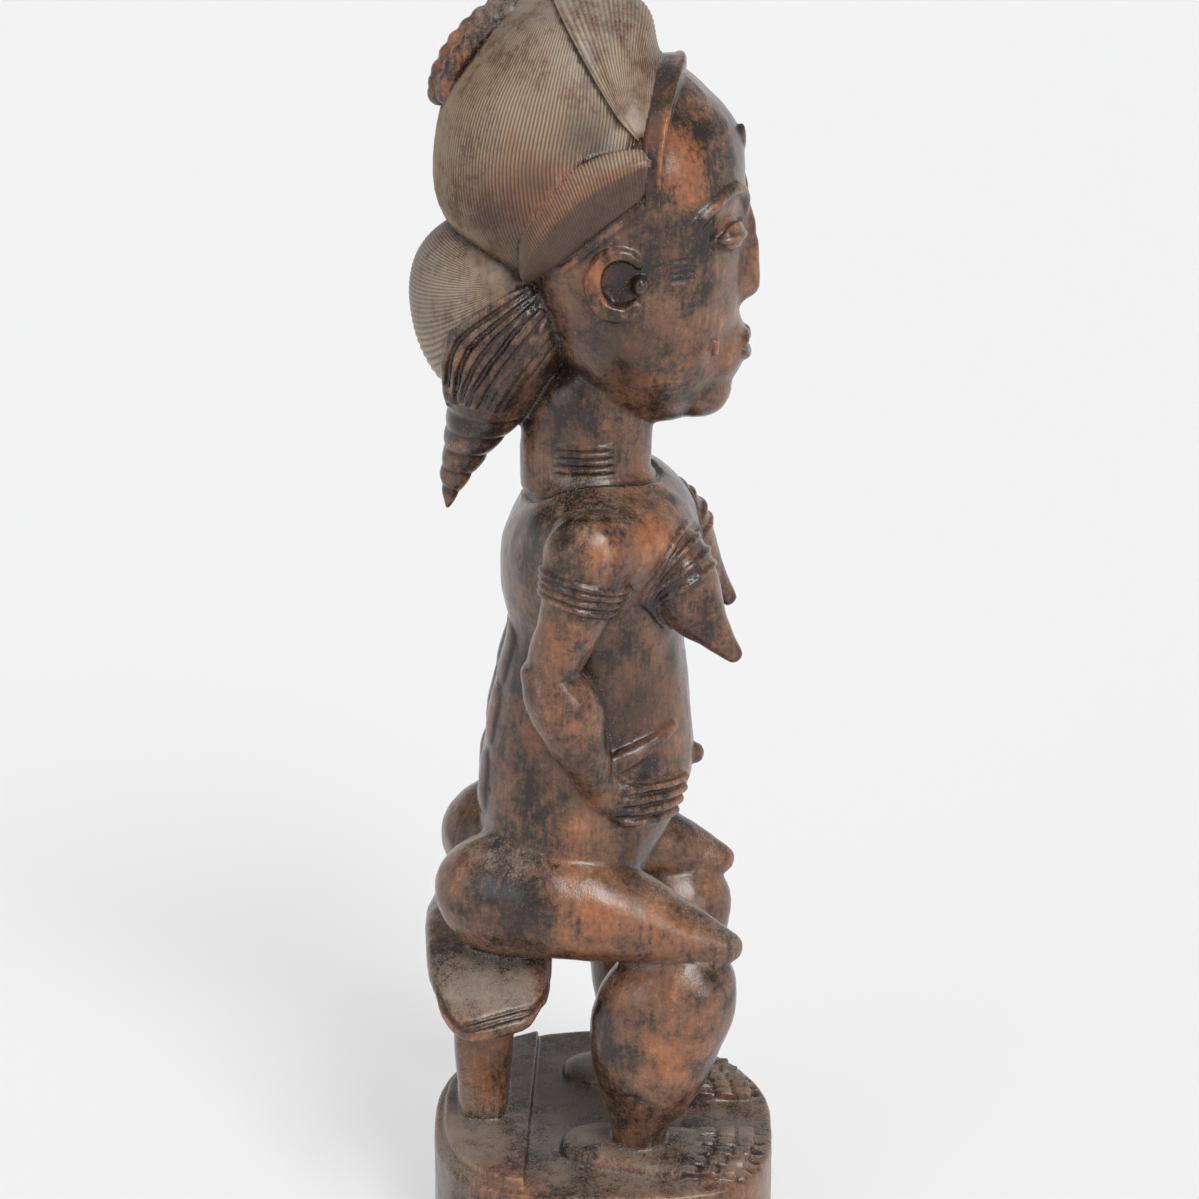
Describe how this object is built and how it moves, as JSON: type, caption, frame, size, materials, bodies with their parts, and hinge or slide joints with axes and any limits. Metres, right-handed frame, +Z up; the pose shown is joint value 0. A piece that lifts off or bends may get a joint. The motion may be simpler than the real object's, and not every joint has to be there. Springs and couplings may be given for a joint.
{
  "type": "carved seated figure",
  "caption": "Wooden carving of a seated woman on a stool and a thick rounded base, hands on her belly, with a tall grooved hairdress; an ornament that stands on a shelf or plinth.",
  "frame": {"origin": "on the base's underside, below the figure's middle plane and midway between the base's front and back", "axes": "+Z up along the figure, -Y the way the figure faces, so its right hand is on the -X side"},
  "size_m": [0.1362, 0.1358, 0.4894],
  "materials": {
    "wood": "dark stained carved wood, hand-rubbed satin on the high places, dry dust in the hollows"
  },
  "bodies": {
    "root": {"figure": "wood"}
  },
  "joints": []
}
